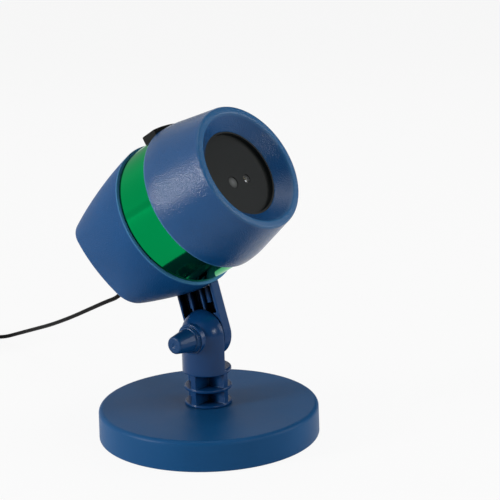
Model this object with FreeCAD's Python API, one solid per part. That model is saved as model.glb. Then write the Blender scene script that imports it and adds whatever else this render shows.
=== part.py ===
import FreeCAD, Part
import math
import os

# Laser show projector on a weighted round foot. All lengths are in millimetres.
# The origin is the centre of the foot's underside, +Z is up and the head faces -Y.

# Clearances
slide_gap = 0.05        # room around the stud, its head and other close fits
fit_gap = 0.1           # room round pieces that plug into each other
seat_gap = 0.2          # room between curved faces that face each other
overrun = 1.0           # how far a cutting shape runs past the face that it opens

# Base
base_radius = 75.0
base_draft = 0.3        # how much narrower the side wall is at its top
base_height = 21.2      # top of the side wall
base_crown = 0.7        # rise of the top from the side wall to the neck seat
base_edge_round = 3.0
base_foot_round = 0.8
base_crown_round = 400.0
base_wall = 2.6
base_lift = 0.6         # side wall stands this far off the floor
crown_run_share = 0.6   # where the top's bend lies, of the base radius
crown_rise_share = 0.75  # and how much of the crown is reached there
neck_seat_margin = 3.0  # of the flat seat round the neck
socket_wall = 3.0
socket_floor = 2.8

# Base plate, feet, ballast and their screws
foot_height = 1.4
foot_radius = 7.0
foot_round = 0.4
foot_inset = 17.0       # of the outer feet's middles from the base's edge
foot_count = 4          # round the edge; one more covers the post screw
plate_thick = 2.4
screw_boss_radius = 4.0
screw_boss_inset = 12.0  # of the bosses' middles from the base's edge
base_screw_count = 4
base_screw_radius = 1.3
base_screw_length = 9.0
base_screw_head_radius = 2.8
base_screw_head_height = 1.3
weight_inner_radius = 20.0
weight_inset = 20.0     # of the weight's rim from the base's edge
weight_thick = 12.0
weight_round = 1.0
post_screw_radius = 2.4
post_screw_length = 16.0
post_screw_head_radius = 4.5
post_screw_head_height = 2.2
post_screw_access = 5.5  # radius of the hole in the base plate, covered by the middle foot

# Post
plug_radius = 12.9
neck_radius = 16.0
neck_disc_thick = 2.2
neck_web_thick = 3.8
neck_height = 22.9      # from the neck seat to the collar
neck_disc_rise = 10.9   # from the neck seat to the middle disc
neck_disc_round = 0.7
post_radius = 17.0
collar_step = 0.8       # the collar is this much narrower than the post
collar_height = 3.2
collar_round = 1.5
pivot_above_collar = 25.9
lap_face = 2.0          # the lap's flat lies this far to the knob side of the axis
pivot_boss_radius = 10.4
pivot_boss_step = 1.2   # how far the boss's wide step stands short of the narrow one
pivot_ring_radius = 9.2
pivot_ring_proud = 1.4  # the knob's seat stands this far out of the post

# Clamp stud, nut, washer and knob
stud_radius = 3.0
stud_head_radius = 4.6
stud_head_height = 4.0
stud_head_depth = 8.0   # how deep the stud's head lies in the knob
washer_radius = 12.0
washer_thick = 0.8
nut_width = 10.0        # across the flats
nut_thick = 4.8
nut_recess = 0.15       # nut lies this far below the arm's face
hexagon_sides = 6
knob_length = 15.3
knob_flange_radius = 9.0
knob_flange_thick = 1.6
knob_root_radius = 8.8
knob_end_radius = 6.2
knob_facets = 8
knob_corner_trim = 0.45  # how much the facets' corners are turned down
knob_end_round = 1.6
knob_dimple_radius = 1.8
knob_dimple_depth = 0.8

# Arm
arm_lean_deg = 17.0     # leans back from upright
arm_width = 33.0
arm_thick = 8.1
arm_web = 1.6
arm_flange = 1.8
arm_rib = 1.2
arm_pocket_count = 3
arm_pocket_start = 12.6  # above the pivot
arm_show = 17.24        # upright distance between the post's top and the head
arm_setback = 17.03     # the arm's middle meets the head this far behind the rear shell's rim
arm_boss_radius = 2.7
arm_boss_length = 11.0
arm_screw_radius = 1.1
arm_screw_bite = 8.0
arm_screw_head_radius = 2.3
arm_screw_head_height = 1.8
arm_pad_radius = 3.2
arm_screw_spread = 8.0  # each screw lies this far from the arm's middle
arm_pad_rise = 2.0
arm_edge_round = 0.8

# Head: its own frame has the optical axis along +Z, up along +Y, with the origin at the
# front shell's rear edge
head_tilt_deg = 32.14

# Front shell
shell_wall = 2.4
front_edge_step = 0.2   # the edge is this much wider than the rear shell's rim
front_edge_round = 0.8
front_belly_station = 7.0
front_belly_round_share = 8.57  # of the belly's station
front_length = 44.8
front_taper = 8.1       # from the belly to the rim
rim_round = 1.7
rim_face = 3.7          # width of the rim's front
rim_inner_round = 1.2
cone_inset = 13.6       # of the cone's foot from the rim's outside
cone_depth = 9.1
land_depth = 3.0        # from the cone's foot down to the front plate's seat
land_width = 5.8
# Places of the four bosses, of the room inside the band
shell_boss_x_share = 0.692
shell_boss_up_share = 0.485
shell_boss_down_share = 0.704
shell_boss_radius = 3.8
shell_boss_front = 14.0
shell_boss_meet = 12.0  # the front and rear bosses meet this far behind the front shell
shell_rib_thick = 2.4
shell_rib_start = 5.0
shell_screw_radius = 1.25
shell_screw_bite = 13.0
shell_screw_head_radius = 2.8
shell_screw_head_height = 2.2
shell_well_radius = 3.1
shell_well_wall = 1.5
shell_well_floor = 4.0

# Front plate, windows and lasers
dish_wall = 1.1
dish_floor = 4.0
dish_lip_recess = 0.2
aperture_x = 7.0
aperture_drop = 4.2     # the windows lie this far below the axis
left_window_radius = 3.8
right_window_radius = 2.9
window_thick = 1.2
window_recess = 0.3
window_shoulder = 0.7   # width of the step that a window sits on
plate_screw_count = 3
plate_screw_radius = 0.95
plate_screw_bite = 3.4
plate_screw_head_radius = 2.0
plate_screw_head_height = 1.4
holder_width = 22.0
holder_height = 15.0
holder_length = 14.0
holder_ear = 5.5
holder_ear_thick = 4.0
holder_fin_count = 3
holder_fin_slot = 1.5
holder_fin_depth = 2.4
holder_screw_radius = 1.2
holder_screw_bite = 2.3
holder_screw_head_radius = 2.2
holder_screw_head_height = 1.8
module_radius = 4.5
module_length = 26.0
module_nose_radius = 2.2
module_nose_length = 2.0
module_mouth_radius = 1.3
module_cap_radius = 3.6
module_cap_length = 4.0
lead_radius = 0.6
lead_spread = 1.6

# Band and seals
band_step = 1.7         # the band lies this far below the rear shell's rim
band_gap = 0.8          # open line between the band and the rear shell
band_span = 28.2        # from the front shell's edge to the rear shell's edge
band_wall = 3.8
spigot_step = 1.6       # the spigots lie this far below the band
spigot_length = 4.4
seal_groove = 1.8
seal_groove_depth = 1.5
seal_offset = 1.4       # from a spigot's shoulder to its groove
seal_radius = 0.85

# Button on top of the band
button_station = 7.0    # behind the front shell's edge
button_half_width = 15.5
button_length = 12.0
button_rise = 4.4       # housing's height above the band
button_crown_radius = 100.0
button_edge_round = 0.8
button_box_half_width = 10.0
button_box_half_length = 4.6
button_wall = 1.3
button_floor = 1.5
button_depth = 3.5      # from the band's inside to the switch's seat
button_lip = 2.0        # thickness of the housing's top round the cap
button_lip_width = 1.0
button_stroke = 1.2
button_proud = 0.6
cap_flange_thick = 1.2
switch_height = 2.5
switch_half_width = 5.0
switch_plunger_radius = 1.4
switch_click_gap = 0.3  # left over between cap and plunger at the end of the stroke
spring_wire = 0.5
spring_radius = 2.3
spring_turns = 4

# Rear shell: a circle at its rim changes into a rounded square at its slanted back
rear_rim_radius = 51.3
rear_length = 56.8
back_inset = 14.1       # the back is this much narrower than the rim on each side
back_drop = 7.2         # the back's centre lies this far below the axis
back_slant_deg = 15.5   # the back's foot is drawn forward
back_edge_round = 4.2
taper_power = 1.47
back_squareness_share = 0.62
section_side_deg = 12.0  # half the turn of each side arc of a section
section_count = 5

# Main board
board_setback = 16.8    # behind the rear shell's rim
board_thick = 1.6
# Sizes and places on the board, of the rear shell's rim radius
board_half_width_share = 0.39
board_half_height_share = 0.487
board_drop_share = 0.078
board_hole_inset_share = 0.088
capacitor_radius_share = 0.0975
capacitor_x_share = 0.195
capacitor_up_share = 0.253
choke_radius_share = 0.0975
choke_bore_share = 0.043
choke_x_share = 0.175
choke_drop_share = 0.37
chip_width_share = 0.175
chip_length_share = 0.117
socket_width_share = 0.214
socket_up_share = 0.175
standoff_radius = 2.8
board_screw_radius = 1.15
board_screw_length = 8.0
board_screw_head_radius = 2.2
board_screw_head_height = 1.5
capacitor_height = 13.0
choke_height = 6.0
chip_height = 1.8
socket_length = 6.0
socket_height = 6.5

# Cord, gland and adapter
cord_radius = 1.5
gland_drop = 11.0       # below the back's centre, along the back
gland_flange_radius = 6.5
gland_flange_thick = 2.0
gland_neck_radius = 3.9
gland_lock_radius = 5.2
gland_lock_thick = 1.6
gland_root_radius = 4.6
gland_tip_radius = 2.5
gland_length = 20.0
gland_groove = 1.1
gland_groove_depth = 0.6
gland_groove_count = 5
cord_start_run = 9.0
cord_end_run = 15.0
bend_share = 0.45       # of the shorter of two runs, taken up by the bend between them
tail_end_gap = 0.6      # between the cord's square end and the board

# The cord's route after the gland, chosen by hand: down behind the foot and left to the coil
cord_route = [
    (3.8, 93.5, 77.3),
    (13.5, 119.0, 65.5),
    (26.5, 152.0, 50.2),
    (40.5, 187.0, 35.2),
    (54.0, 218.0, 23.2),
    (64.0, 246.0, 12.5),
    (67.0, 270.0, 3.6),
    (65.5, 287.5, 2.6),
    (56.0, 302.5, 2.8),
]

# The put-away coil: turns spiral in and out again, layer on layer
coil_centre_x = 22.0
coil_centre_y = 283.0
coil_mean_radius = 18.0
coil_layers = 4
coil_turns_per_layer = 5
coil_turn_gap = 0.5
coil_lead_out = 11.0    # straight end between the last turn and the adapter
coil_climb_turns = 0.5
quarters = 4
marks_per_edge = 6      # for the least gap between turns
tie_thick = 1.2
tie_width = 7.0
tie_gap = 0.3
tie_angle_deg = -35.0
adapter_length = 46.0
adapter_width = 32.0
adapter_round = 3.0
adapter_relief_length = 20.0
adapter_relief_root = 4.2
adapter_relief_tip = 2.4
pin_width = 6.3
pin_thick = 1.5
pin_length = 16.0
pin_spacing = 12.7

os.makedirs("parts", exist_ok=True)
origin = FreeCAD.Vector(0, 0, 0)
axis_x = FreeCAD.Vector(1, 0, 0)
axis_y = FreeCAD.Vector(0, 1, 0)
axis_z = FreeCAD.Vector(0, 0, 1)
full_turn = 360.0
quarter_turn = 90.0
half = 0.5

# Levels and stations worked out from the sizes above
foot_circle = base_radius - foot_inset
screw_boss_circle = base_radius - screw_boss_inset
weight_outer_radius = base_radius - weight_inset
neck_seat_radius = neck_radius + neck_seat_margin
collar_radius = post_radius - collar_step
pivot_ring_reach = post_radius + pivot_ring_proud
front_edge_radius = rear_rim_radius + front_edge_step
front_belly_radius = rear_rim_radius
front_belly_round = front_belly_station * front_belly_round_share
rim_outer_radius = front_belly_radius - front_taper
cone_foot_radius = rim_outer_radius - cone_inset
band_radius = rear_rim_radius - band_step
spigot_radius = band_radius - spigot_step
back_half_width = rear_rim_radius - back_inset
shell_boss_reach = band_radius - band_wall - shell_well_radius - shell_well_wall
shell_boss_x = shell_boss_reach * shell_boss_x_share
shell_boss_up = shell_boss_reach * shell_boss_up_share
shell_boss_down = shell_boss_reach * shell_boss_down_share
board_half_width = rear_rim_radius * board_half_width_share
board_half_height = rear_rim_radius * board_half_height_share
board_drop = rear_rim_radius * board_drop_share
board_hole_inset = rear_rim_radius * board_hole_inset_share
capacitor_radius = rear_rim_radius * capacitor_radius_share
capacitor_x = rear_rim_radius * capacitor_x_share
capacitor_up = rear_rim_radius * capacitor_up_share
choke_radius = rear_rim_radius * choke_radius_share
choke_bore = rear_rim_radius * choke_bore_share
choke_x = rear_rim_radius * choke_x_share
choke_drop = rear_rim_radius * choke_drop_share
chip_width = rear_rim_radius * chip_width_share
chip_length = rear_rim_radius * chip_length_share
socket_width = rear_rim_radius * socket_width_share
socket_up = rear_rim_radius * socket_up_share
plate_top = foot_height + plate_thick
column_radius = plug_radius + fit_gap + socket_wall
neck_seat = base_height + base_crown
collar_bottom = neck_seat + neck_height
ledge = collar_bottom + collar_height
pivot_height = collar_bottom + pivot_above_collar
tilt = math.radians(head_tilt_deg)
lean = math.radians(arm_lean_deg)
head_height = pivot_height + post_radius + arm_show + rear_rim_radius / math.cos(tilt)
# The arm's blank ends inside the head, whose shape is taken out of it
arm_blank = head_height - pivot_height - half * rear_rim_radius
arm_near = -lap_face + washer_thick + slide_gap
arm_far = arm_near + arm_thick
nut_seat = arm_far - nut_recess - nut_thick
cone_foot = front_length - cone_depth
plate_seat = cone_foot - land_depth
plate_back = plate_seat - dish_floor
rear_rim = -band_span
# The arm's middle line crosses the line that carries the rim's lowest point back along the head
arm_station = rear_rim - arm_setback
crossing_rise = head_height - pivot_height - rear_rim_radius * math.cos(tilt) + arm_station * math.sin(tilt)
crossing_back = crossing_rise * math.tan(lean)
# The head frame's origin lies this far in front of the post's axis
head_forward = -crossing_back - rear_rim_radius * math.sin(tilt) - arm_station * math.cos(tilt)
back_station = rear_rim - rear_length
board_back = rear_rim - board_setback
board_front = board_back + board_thick
module_back = plate_back - module_length
tail_of_modules = module_back - module_cap_length
cord_pitch = cord_radius * 2 + coil_turn_gap
coil_outer = coil_mean_radius + half * coil_turns_per_layer * cord_pitch
coil_bottom = tie_thick + tie_gap + cord_radius
coil_top = coil_bottom + (coil_layers - 1) * cord_pitch


def point(x, y, z):
    return FreeCAD.Vector(x, y, z)


def rod(radius, start, end, x=0, y=0):
    """Round bar along Z between two levels."""
    return Part.makeCylinder(radius, end - start, point(x, y, start))


def block(low, high):
    """Box between two opposite corners."""
    size = [b - a for a, b in zip(low, high)]
    return Part.makeBox(size[0], size[1], size[2], point(*low))


def arc_middle(start, tangent, end):
    """Middle of the arc that leaves start along tangent and reaches end."""
    chord = end.sub(start)
    along = FreeCAD.Vector(chord).normalize()
    across = tangent.sub(along * tangent.dot(along)).normalize()
    angle = tangent.getAngle(along)
    return start.add(chord * half).add(across * (half * chord.Length * math.tan(half * angle)))


def outline(corners, place):
    """Closed wire through corners (a, b, rounding): straight runs joined by tangent arcs."""
    spots = [place(a, b) for a, b, _ in corners]
    cuts = []
    for index, (_, _, rounding) in enumerate(corners):
        here = spots[index]
        back = spots[index - 1].sub(here)
        ahead = spots[(index + 1) % len(spots)].sub(here)
        if rounding:
            reach = rounding / math.tan(half * back.getAngle(ahead))
            back.normalize()
            ahead.normalize()
            cuts.append((here.add(back * reach), back * -1, here.add(ahead * reach)))
        else:
            cuts.append((here, None, here))
    edges = []
    for index, (enter, heading, leave) in enumerate(cuts):
        if heading:
            edges.append(Part.Arc(enter, arc_middle(enter, heading, leave), leave).toShape())
        following = cuts[(index + 1) % len(cuts)][0]
        edges.append(Part.LineSegment(leave, following).toShape())
    return Part.Wire(edges)


def turned(corners):
    """Solid turned about Z from an outline of (radius, level, rounding) corners."""
    face = Part.Face(outline(corners, lambda r, z: point(r, 0, z)))
    return face.revolve(origin, axis_z, full_turn)


def sharp(*pairs):
    """Corners without rounding."""
    return [(a, b, 0) for a, b in pairs]


def ring(inner, outer, start, end):
    return turned(sharp((inner, start), (outer, start), (outer, end), (inner, end)))


def prism(sides, radius, start, end):
    """Upright prism on a regular polygon whose corners lie on the radius."""
    step = full_turn / sides
    corners = [
        point(radius * math.cos(math.radians(k * step)), radius * math.sin(math.radians(k * step)), start)
        for k in range(sides + 1)
    ]
    return Part.Face(Part.makePolygon(corners)).extrude(point(0, 0, end - start))


def around(count, radius, first_deg=0):
    """Evenly spaced places on a circle."""
    turns = [math.radians(first_deg + full_turn * k / count) for k in range(count)]
    return [(radius * math.cos(t), radius * math.sin(t)) for t in turns]


def screw(shank_radius, shank_end, seat, head_radius, head_height, x=0, y=0):
    """Screw along Z: its head lies below the seat, its shank runs up to shank_end."""
    rounding = half * head_height
    head = turned([
        (0, seat - head_height, 0),
        (head_radius, seat - head_height, rounding),
        (head_radius, seat, 0),
        (0, seat, 0),
    ])
    shank = rod(shank_radius, seat - half * head_height, shank_end)
    drive = block(
        (-half * head_radius, -half * shank_radius * half, seat - head_height - overrun),
        (half * head_radius, half * shank_radius * half, seat - half * head_height),
    )
    made = head.fuse(shank).cut(drive)
    made.translate(point(x, y, 0))
    return made


def fused(first, others):
    return first.fuse(list(others)).removeSplitter()


head_place = FreeCAD.Placement(
    point(0, -head_forward, head_height),
    FreeCAD.Rotation(axis_x, quarter_turn - head_tilt_deg),
)
arm_place = FreeCAD.Placement(point(0, 0, pivot_height), FreeCAD.Rotation(axis_x, -arm_lean_deg))
# The knob's own frame has its axis along +Z from the post's axis outwards, which is -X
knob_place = FreeCAD.Placement(point(0, 0, pivot_height), FreeCAD.Rotation(axis_y, -quarter_turn))
# The back's own frame has +Z out of the back's face, at its centre, and +Y up along the face
back_place = FreeCAD.Placement(
    point(0, -back_drop, back_station),
    FreeCAD.Rotation(axis_y, full_turn * half),
).multiply(FreeCAD.Placement(origin, FreeCAD.Rotation(axis_x, back_slant_deg)))


def placed(shape, place):
    moved = shape.copy()
    moved.Placement = place.multiply(moved.Placement)
    return moved


nodes = {}


def keep(name, *solids):
    """Write a node's solids to its file."""
    shape = solids[0] if len(solids) == 1 else Part.makeCompound(list(solids))
    nodes[name] = shape
    shape.exportStep(f"parts/{name}.step")


# Base
def base_shell():
    top_radius = base_radius - base_draft
    inner = top_radius - base_wall
    body = turned([
        (0, base_lift, 0),
        (base_radius, base_lift, base_foot_round),
        (top_radius, base_height, base_edge_round),
        (base_radius * crown_run_share, base_height + base_crown * crown_rise_share, base_crown_round),
        (neck_seat_radius, neck_seat, 0),
        (0, neck_seat, 0),
    ])
    hollow = turned(sharp(
        (column_radius, plate_top),
        (inner, plate_top),
        (inner, base_height - base_wall),
        (column_radius, neck_seat - base_wall),
    ))
    body = body.cut([hollow, rod(inner, base_lift - overrun, plate_top)])
    spots = around(base_screw_count, screw_boss_circle, half * full_turn / base_screw_count)
    body = fused(body, [
        rod(screw_boss_radius, plate_top, base_height - half * base_wall, x, y) for x, y in spots
    ])
    pilots = [
        rod(base_screw_radius + slide_gap, plate_top - overrun, plate_top + base_screw_length, x, y)
        for x, y in spots
    ]
    socket = rod(plug_radius + fit_gap, plate_top + socket_floor, neck_seat + overrun)
    screw_hole = rod(post_screw_radius + fit_gap, plate_top - overrun, neck_seat)
    return body.cut(pilots + [socket, screw_hole])


def base_plate():
    body = rod(base_radius - base_draft - base_wall - seat_gap, foot_height, plate_top)
    cuts = [rod(post_screw_access, foot_height - overrun, plate_top + overrun)]
    for x, y in around(base_screw_count, screw_boss_circle, half * full_turn / base_screw_count):
        cuts.append(rod(base_screw_radius + fit_gap, foot_height - overrun, plate_top + overrun, x, y))
        recess = foot_height + base_screw_head_height
        cuts.append(rod(base_screw_head_radius + seat_gap, foot_height - overrun, recess, x, y))
    return body.cut(cuts)


def rubber_feet():
    foot = turned([
        (0, 0, 0),
        (foot_radius, 0, foot_round),
        (foot_radius, foot_height, 0),
        (0, foot_height, 0),
    ])
    for x, y in [(0, 0)] + around(foot_count, foot_circle):
        made = foot.copy()
        made.translate(point(x, y, 0))
        yield made


def base_weight():
    top = plate_top + weight_thick
    return turned([
        (weight_inner_radius, plate_top, 0),
        (weight_outer_radius, plate_top, 0),
        (weight_outer_radius, top, weight_round),
        (weight_inner_radius, top, weight_round),
    ])


def base_screws():
    seat = foot_height + base_screw_head_height
    for x, y in around(base_screw_count, screw_boss_circle, half * full_turn / base_screw_count):
        yield screw(base_screw_radius, plate_top + base_screw_length - overrun, seat,
                    base_screw_head_radius, base_screw_head_height, x, y)


def post_screw():
    return screw(post_screw_radius, plate_top + post_screw_length, plate_top,
                 post_screw_head_radius, post_screw_head_height)


# Post
def neck_disc(level):
    return turned([
        (0, level, 0),
        (neck_radius, level, neck_disc_round),
        (neck_radius, level + neck_disc_thick, neck_disc_round),
        (0, level + neck_disc_thick, 0),
    ])


def post():
    plug = rod(plug_radius, plate_top + socket_floor, neck_seat + neck_disc_thick)
    middle = neck_seat + neck_disc_rise
    wide = half * neck_web_thick
    reach = neck_radius - half * neck_disc_round
    top = collar_bottom + neck_disc_round
    webs = [
        block((-reach, -wide, neck_seat), (reach, wide, top)),
        block((-wide, -reach, neck_seat), (wide, reach, top)),
    ]
    collar = turned([
        (0, collar_bottom, 0),
        (collar_radius, collar_bottom, neck_disc_round),
        (collar_radius, ledge, collar_round),
        (0, ledge, 0),
    ])
    stem = turned([
        (0, collar_bottom, 0),
        (post_radius, collar_bottom, neck_disc_round),
        (post_radius, pivot_height + post_radius, post_radius - slide_gap),
        (0, pivot_height + post_radius, 0),
    ])
    low = (-lap_face, -post_radius - overrun, collar_bottom - overrun)
    high = (post_radius + overrun, post_radius + overrun, pivot_height + post_radius + overrun)
    ear = stem.cut(block(low, high))
    boss = rod(pivot_boss_radius, lap_face, pivot_ring_reach - pivot_boss_step)
    collar_ring = rod(pivot_ring_radius, lap_face, pivot_ring_reach)
    bosses = [placed(shape, knob_place) for shape in (boss, collar_ring)]
    body = fused(plug, [neck_disc(neck_seat), neck_disc(middle)] + webs + [collar, ear] + bosses)
    bore = placed(rod(stud_radius + slide_gap, 0, pivot_ring_reach + overrun), knob_place)
    thread_end = plate_top + post_screw_length + overrun
    thread = rod(post_screw_radius + slide_gap, plate_top, thread_end)
    return body.cut([bore, thread])


# Clamp, in the knob's own frame
def washer():
    return placed(ring(stud_radius + fit_gap, washer_radius, lap_face - washer_thick, lap_face), knob_place)


def stud(room):
    """Stud with its six-sided head, grown by room on every side."""
    neck = pivot_ring_reach + stud_head_depth
    head = prism(hexagon_sides, stud_head_radius + room, neck - room, neck + stud_head_height + room)
    shank = rod(stud_radius + room, -nut_seat - nut_thick, neck + room)
    return placed(fused(head, [shank]), knob_place)


def nut():
    corner = half * nut_width / math.cos(math.pi / hexagon_sides)
    body = prism(hexagon_sides, corner, -nut_seat - nut_thick, -nut_seat)
    bore = rod(stud_radius + slide_gap, -arm_far - overrun, lap_face)
    return placed(body.cut(bore), knob_place)


def knob():
    seat = pivot_ring_reach + slide_gap
    root = seat + knob_flange_thick
    end = seat + knob_length
    flange = turned([
        (0, seat, 0),
        (knob_flange_radius, seat, 0),
        (knob_flange_radius, root, half * knob_flange_thick),
        (0, root, 0),
    ])
    step = full_turn / knob_facets
    rings = []
    for radius, level in ((knob_root_radius, seat), (knob_end_radius, end)):
        rings.append(Part.makePolygon([
            point(radius * math.cos(math.radians(k * step)), radius * math.sin(math.radians(k * step)), level)
            for k in range(knob_facets + 1)
        ]))
    grip = Part.makeLoft(rings, True, True)
    limit = turned([
        (0, seat, 0),
        (knob_root_radius - knob_corner_trim, seat, 0),
        (knob_end_radius - knob_corner_trim, end, knob_end_round),
        (0, end, 0),
    ])
    body = fused(flange, [grip.common(limit)])
    dimple = Part.makeCone(0, knob_dimple_radius, knob_dimple_depth, point(0, 0, end - knob_dimple_depth))
    return placed(body.cut(dimple), knob_place).cut(stud(slide_gap))


# Rear shell sections, in the head's own frame
def section(travel_share, inset, length):
    """Rounded-square wire of eight tangent arcs at a share of the way from the rim to the back."""
    bulge_share = travel_share ** taper_power
    wide = rear_rim_radius - (rear_rim_radius - back_half_width) * bulge_share
    corner = wide * (1 - back_squareness_share * bulge_share)
    turn = math.radians(section_side_deg)
    side = (wide - corner * (math.cos(turn) - math.sin(turn))) / (1 - math.cos(turn) + math.sin(turn))
    middle = (side - corner) * math.sin(turn)
    side = side - inset
    corner = corner - inset
    slant = math.radians(back_slant_deg) * travel_share
    level = rear_rim - length * travel_share
    drop = back_drop * travel_share

    def spot(quadrant, centre, radius, angle):
        across = centre[0] + radius * math.cos(angle)
        up = centre[1] + radius * math.sin(angle)
        for _ in range(quadrant):
            across, up = -up, across
        return point(across, up * math.cos(slant) - drop, level - up * math.sin(slant))

    edges = []
    for quadrant in range(quarters):
        flat = (wide - inset - side, 0)
        bend = (middle, middle)
        marks = [spot(quadrant, flat, side, angle) for angle in (-turn, 0, turn)]
        edges.append(Part.Arc(*marks).toShape())
        angles = (turn, math.pi / quarters, math.pi * half - turn)
        marks = [spot(quadrant, bend, corner, angle) for angle in angles]
        edges.append(Part.Arc(*marks).toShape())
    return Part.Wire(edges)


def rear_form(inset, length):
    """Closed form of the rear shell, drawn in by inset."""
    shares = [k / (section_count - 1) for k in range(section_count)]
    return Part.makeLoft([section(share, inset, length) for share in shares], True, False)


def rear_outside():
    form = rear_form(0, rear_length)
    out = back_place.Rotation.multVec(axis_z)
    centre = back_place.Base
    back = [
        edge for edge in form.Edges
        if all(abs(vertex.Point.sub(centre).dot(out)) < slide_gap for vertex in edge.Vertexes)
    ]
    return form.makeFillet(back_edge_round, back)


rear_solid = rear_outside()


def shell_boss_spots():
    for x in (-shell_boss_x, shell_boss_x):
        for y in (shell_boss_up, -shell_boss_down):
            yield x, y


def board_hole_spots():
    across = board_half_width - board_hole_inset
    up = board_half_height - board_hole_inset
    for x in (-across, across):
        for y in (-board_drop - up, -board_drop + up):
            yield x, y


def arm_screw_spots():
    """Places of the arm's screws in the arm's frame: two, and the level of the shell's skin above each."""
    x = arm_far - arm_web - half * arm_boss_radius
    skin = placed(rear_solid, head_place)
    for y in (-arm_screw_spread, arm_screw_spread):
        start = arm_place.multVec(point(x, y, arm_boss_radius))
        end = arm_place.multVec(point(x, y, arm_blank))
        hit = Part.makeLine(start, end).common(skin)
        level = min(arm_place.inverse().multVec(vertex.Point).z for vertex in hit.Vertexes)
        yield x, y, level


arm_screw_places = list(arm_screw_spots())


def to_head(shape):
    """Bring a shape from the arm's frame into the head's frame."""
    return placed(shape, head_place.inverse().multiply(arm_place))


def rear_shell():
    hollow = rear_form(shell_wall, rear_length - shell_wall)
    body = rear_solid.cut(hollow)
    well_outer = shell_well_radius + shell_well_wall
    bosses = []
    wells = []
    for x, y in shell_boss_spots():
        inside = rod(well_outer, back_station - rear_length, rear_rim - overrun, x, y).common(rear_solid)
        bosses.append(inside)
        bosses.append(rod(well_outer, rear_rim - 2 * overrun, -shell_boss_meet, x, y))
        wells.append(rod(shell_well_radius, back_station - rear_length,
                         -shell_boss_meet - shell_well_floor, x, y))
        wells.append(rod(shell_screw_radius + fit_gap, -shell_boss_meet - shell_well_floor - overrun,
                         -shell_boss_meet + overrun, x, y))
    for x, y in board_hole_spots():
        bosses.append(rod(standoff_radius, back_station - rear_length, board_back, x, y).common(rear_solid))
        wells.append(rod(board_screw_radius + slide_gap, board_back - board_screw_length,
                         board_back + overrun, x, y))
    for x, y, level in arm_screw_places:
        pad = rod(arm_pad_radius, level + half * shell_wall, level + shell_wall + arm_pad_rise, x, y)
        bosses.append(to_head(pad))
        hole = rod(arm_screw_radius + fit_gap, level - arm_pad_radius, level + arm_blank, x, y)
        wells.append(to_head(hole.common(rod(arm_pad_radius, level - arm_pad_radius,
                                             level + shell_wall + arm_pad_rise + overrun, x, y))))
    hole = rod(gland_neck_radius + fit_gap, -shell_wall - gland_length, overrun, 0, -gland_drop)
    wells.append(placed(hole.common(rod(gland_flange_radius, -shell_wall - overrun, overrun, 0, -gland_drop)),
                        back_place))
    return fused(body, bosses).cut(wells)


def shell_screws():
    for x, y in shell_boss_spots():
        yield screw(shell_screw_radius, -shell_boss_meet + shell_screw_bite,
                    -shell_boss_meet - shell_well_floor,
                    shell_screw_head_radius, shell_screw_head_height, x, y)


# Arm, in its own frame: +Z along the arm from the pivot
def arm():
    wide = half * arm_width
    side = FreeCAD.Placement(origin, FreeCAD.Rotation(axis_y, quarter_turn))
    ear = placed(rod(wide, arm_near, arm_far), side)
    bar = block((arm_near, -wide, 0), (arm_far, wide, arm_blank))
    body = ear.fuse(bar).removeSplitter()
    edges = [
        edge for edge in body.Edges
        if abs(edge.CenterOfMass.y) > half * wide or edge.CenterOfMass.z < 0
        if edge.CenterOfMass.z < arm_blank - overrun
        if edge.Length > 2 * arm_thick
    ]
    body = body.makeFillet(arm_edge_round, edges)
    pocket = (arm_width - 2 * arm_flange - (arm_pocket_count - 1) * arm_rib) / arm_pocket_count
    pockets = []
    for k in range(arm_pocket_count):
        start = -wide + arm_flange + k * (pocket + arm_rib)
        pockets.append(block((arm_near - overrun, start, arm_pocket_start),
                             (arm_far - arm_web, start + pocket, arm_blank + overrun)))
    body = body.cut(pockets)
    bosses = []
    pilots = []
    for x, y, level in arm_screw_places:
        bosses.append(rod(arm_boss_radius, level - arm_boss_length, arm_blank, x, y))
        pilots.append(rod(arm_screw_radius + slide_gap, level - arm_screw_bite - overrun, arm_blank, x, y))
    body = fused(body, bosses).cut(pilots)
    corner = half * nut_width / math.cos(math.pi / hexagon_sides) + fit_gap
    pocket_for_nut = placed(prism(hexagon_sides, corner, -arm_far - overrun, -nut_seat), knob_place)
    bore = placed(rod(stud_radius + fit_gap, -arm_far - overrun, -arm_near + overrun), knob_place)
    skin = fused(rear_form(-seat_gap, rear_length), [
        rod(rear_rim_radius + seat_gap, rear_rim - slide_gap, overrun),
    ])
    return placed(body, arm_place).cut([pocket_for_nut, bore, placed(skin, head_place)])


def arm_screws():
    for x, y, level in arm_screw_places:
        upside_down = FreeCAD.Placement(point(x, y, 0), FreeCAD.Rotation(axis_x, half * full_turn))
        seat = level + shell_wall + arm_pad_rise
        made = screw(arm_screw_radius, arm_screw_bite - level, -seat,
                     arm_screw_head_radius, arm_screw_head_height)
        yield placed(made, arm_place.multiply(upside_down))


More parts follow.
